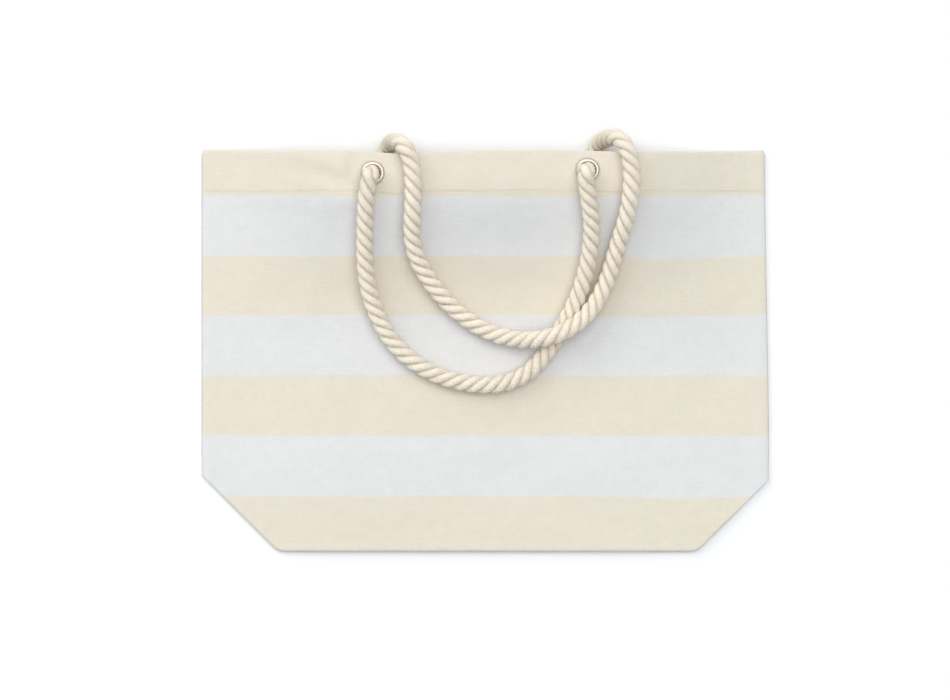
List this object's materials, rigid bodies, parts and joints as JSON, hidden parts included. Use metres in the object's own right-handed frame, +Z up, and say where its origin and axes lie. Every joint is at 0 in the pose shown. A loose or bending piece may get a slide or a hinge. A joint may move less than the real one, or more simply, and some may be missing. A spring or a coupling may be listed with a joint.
{
  "type": "beach bag",
  "caption": "Striped canvas beach bag lying flat on its back, with folded-in bottom gusset, hemmed mouth, metal eyelets and twisted rope handles that swing over the mouth.",
  "frame": {"origin": "under the middle of the bag's own box, on the surface that it lies on; the ropes aren't counted", "axes": "+X across the bag, +Y from the bottom towards the mouth, +Z up out of the front face"},
  "size_m": [0.55, 0.4091, 0.0667],
  "materials": {
    "canvas": "woven cotton canvas in wide cream and off-white bands",
    "seam_binding": "folded cotton tape over the seam allowance",
    "eyelet_metal": "bright nickel plate",
    "cotton_rope": "soft three-strand twisted cotton",
    "whipping_twine": "tightly wound cotton twine"
  },
  "bodies": {
    "bag": {"front_panel": "canvas", "back_panel": "canvas", "bottom_panel": "canvas", "left_gusset": "canvas", "right_gusset": "canvas", "front_hem": "canvas", "back_hem": "canvas", "left_side_seam": "seam_binding", "right_side_seam": "seam_binding", "front_left_eyelet": "eyelet_metal", "front_right_eyelet": "eyelet_metal", "back_left_eyelet": "eyelet_metal", "back_right_eyelet": "eyelet_metal", "front_left_eyelet_washer": "eyelet_metal", "front_right_eyelet_washer": "eyelet_metal", "back_left_eyelet_washer": "eyelet_metal", "back_right_eyelet_washer": "eyelet_metal", "front_left_knot": "cotton_rope", "front_right_knot": "cotton_rope", "back_left_knot": "cotton_rope", "back_right_knot": "cotton_rope", "front_left_rope_end": "cotton_rope", "front_right_rope_end": "cotton_rope", "back_left_rope_end": "cotton_rope", "back_right_rope_end": "cotton_rope", "front_left_rope_neck": "cotton_rope", "front_right_rope_neck": "cotton_rope", "back_left_rope_curl": "cotton_rope", "back_right_rope_curl": "cotton_rope", "front_left_whipping": "whipping_twine", "front_right_whipping": "whipping_twine", "back_left_whipping": "whipping_twine", "back_right_whipping": "whipping_twine"},
    "front_handle": {"front_rope_handle": "cotton_rope"},
    "back_handle": {"back_rope_handle": "cotton_rope"}
  },
  "joints": [
    {"name": "front_handle_swing", "type": "hinge", "parent": "bag", "child": "front_handle", "pos_m": [0, 0.1737, 0.0586], "axis": [-1, 0, 0], "range_deg": [0, 135]},
    {"name": "back_handle_swing", "type": "hinge", "parent": "bag", "child": "back_handle", "pos_m": [0, 0.2052, 0.0275], "axis": [-1, 0, 0], "range_deg": [0, 135], "deforming": ["back_left_rope_curl", "back_right_rope_curl"]}
  ],
  "couplings": [
    {"joint": "back_handle_swing", "follows": "front_handle_swing", "ratio": 1}
  ]
}
